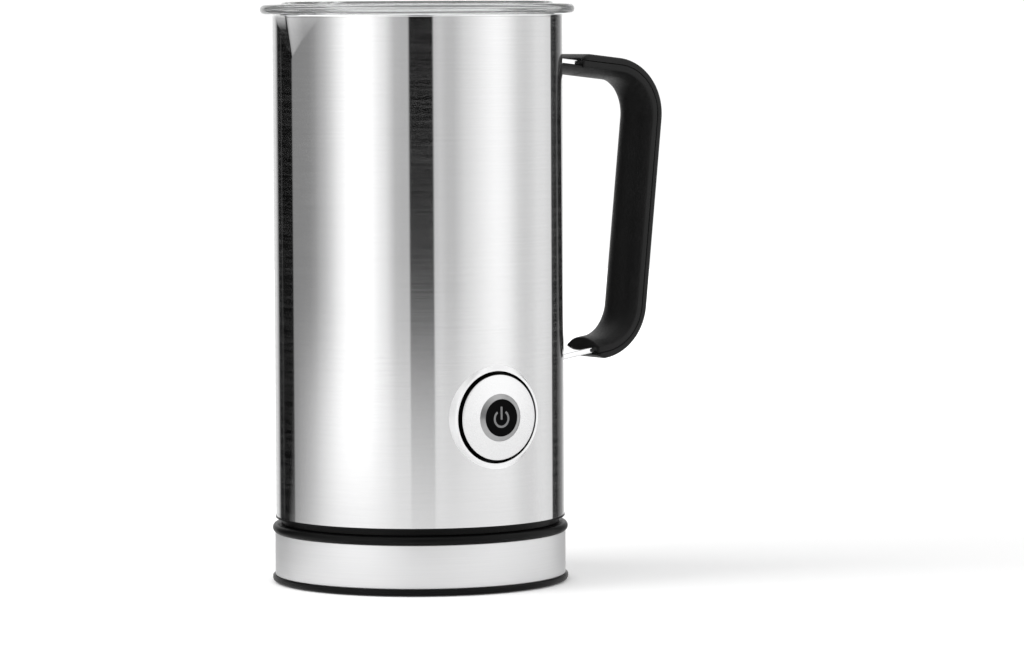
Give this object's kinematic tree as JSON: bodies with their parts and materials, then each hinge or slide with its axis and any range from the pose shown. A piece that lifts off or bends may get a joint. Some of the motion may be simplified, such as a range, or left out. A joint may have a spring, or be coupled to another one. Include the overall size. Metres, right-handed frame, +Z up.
{
  "type": "milk frother",
  "caption": "Steel milk frother jug with a clear lid, magnetic whisk, soft black loop handle and round push button, on a cordless power base.",
  "frame": {"origin": "on the jug's axis at the table, the underside of the foot ring", "axes": "+Z up along the jug's axis, +X towards the handle, -X towards the pouring lip, -Y towards the button, +Y towards the cord outlet"},
  "size_m": [0.1473, 0.1064, 0.1962],
  "materials": {
    "brushed_steel": "satin",
    "button_steel": "satin",
    "pot_steel": "satin",
    "polished_steel": "polished",
    "clear_plastic": "gloss",
    "silicone": "matt",
    "black_plastic": "satin",
    "soft_grip": "matt",
    "foot_rubber": "matt",
    "lens": "gloss",
    "light_guide": "gloss",
    "contact_brass": "satin",
    "zinc_steel": "satin",
    "board": "satin",
    "electronics": "matt",
    "heater_aluminium": "satin",
    "iron": "matt"
  },
  "bodies": {
    "power_base": {"base_bottom_cover": "black_plastic", "foot_ring": "foot_rubber", "base_band": "brushed_steel", "base_top_cover": "black_plastic", "base_connector": "black_plastic", "base_contact_rings": "contact_brass", "base_centre_contact": "contact_brass", "base_screws": "zinc_steel", "cord_gland": "black_plastic"},
    "jug_contact": {"jug_centre_contact": "contact_brass"},
    "jug": {"jug_shell": "brushed_steel", "jug_pot": "pot_steel", "pot_spindle": "polished_steel", "shell_tabs": "zinc_steel", "jug_base_cover": "black_plastic", "base_cover_screws": "zinc_steel", "jug_connector": "black_plastic", "jug_ring_contact": "contact_brass", "handle_strap": "polished_steel", "handle_grip_outer": "soft_grip", "handle_grip_inner": "soft_grip", "button_housing": "black_plastic", "housing_studs": "zinc_steel", "housing_nuts": "zinc_steel", "control_board": "board", "board_screws": "zinc_steel", "board_components": "electronics", "button_switch": "electronics", "status_leds": "light_guide", "heater_plate": "heater_aluminium", "heater_element": "heater_aluminium", "thermostat": "electronics", "temperature_sensor": "zinc_steel", "motor_can": "zinc_steel", "motor_end_cap": "black_plastic", "motor_bushes": "contact_brass", "stator_magnets": "iron", "motor_bracket": "zinc_steel", "motor_screws": "zinc_steel", "rubber_dampers": "foot_rubber", "bracket_studs": "zinc_steel", "bracket_nuts": "zinc_steel"},
    "lid": {"lid_cover": "clear_plastic", "lid_seal": "silicone"},
    "button": {"button_plate": "button_steel", "button_lens": "lens", "button_carrier": "black_plastic", "light_guides": "light_guide"},
    "plunger": {"switch_plunger": "electronics"},
    "rotor": {"motor_rotor": "iron", "motor_shaft": "polished_steel", "commutator": "contact_brass", "magnet_carrier": "black_plastic", "drive_magnets": "iron"},
    "whisk_sleeve": {"whisk_bush": "black_plastic"},
    "whisk": {"whisk_hub": "black_plastic", "whisk_magnets": "iron", "whisk_frame": "polished_steel", "whisk_spring": "polished_steel"}
  },
  "joints": [
    {"name": "jug_lift", "type": "slide", "parent": "power_base", "child": "jug_contact", "axis": [0, 0, 1], "range_m": [0, 0.05]},
    {"name": "jug_turn", "type": "hinge", "parent": "jug_contact", "child": "jug", "pos_m": [0, 0, 0.03], "axis": [0, 0, 1], "continuous": true},
    {"name": "lid_lift", "type": "slide", "parent": "jug", "child": "lid", "axis": [0, 0, 1], "range_m": [0, 0.06]},
    {"name": "button_press", "type": "slide", "parent": "jug", "child": "button", "axis": [0, 1, 0], "range_m": [0, 0.0006], "stiffness_N_per_m": 1000, "springref_m": -0.0004},
    {"name": "plunger_press", "type": "slide", "parent": "jug", "child": "plunger", "axis": [0, 1, 0], "range_m": [0, 0.0006]},
    {"name": "motor_spin", "type": "hinge", "parent": "jug", "child": "rotor", "pos_m": [0, 0, 0.05], "axis": [0, 0, 1], "continuous": true},
    {"name": "whisk_lift", "type": "slide", "parent": "jug", "child": "whisk_sleeve", "axis": [0, 0, 1], "range_m": [0, 0.06]},
    {"name": "whisk_spin", "type": "hinge", "parent": "whisk_sleeve", "child": "whisk", "pos_m": [0, 0, 0.08], "axis": [0, 0, 1], "continuous": true}
  ],
  "couplings": [
    {"joint": "plunger_press", "follows": "button_press", "ratio": 1},
    {"joint": "whisk_spin", "follows": "motor_spin", "ratio": 1}
  ]
}
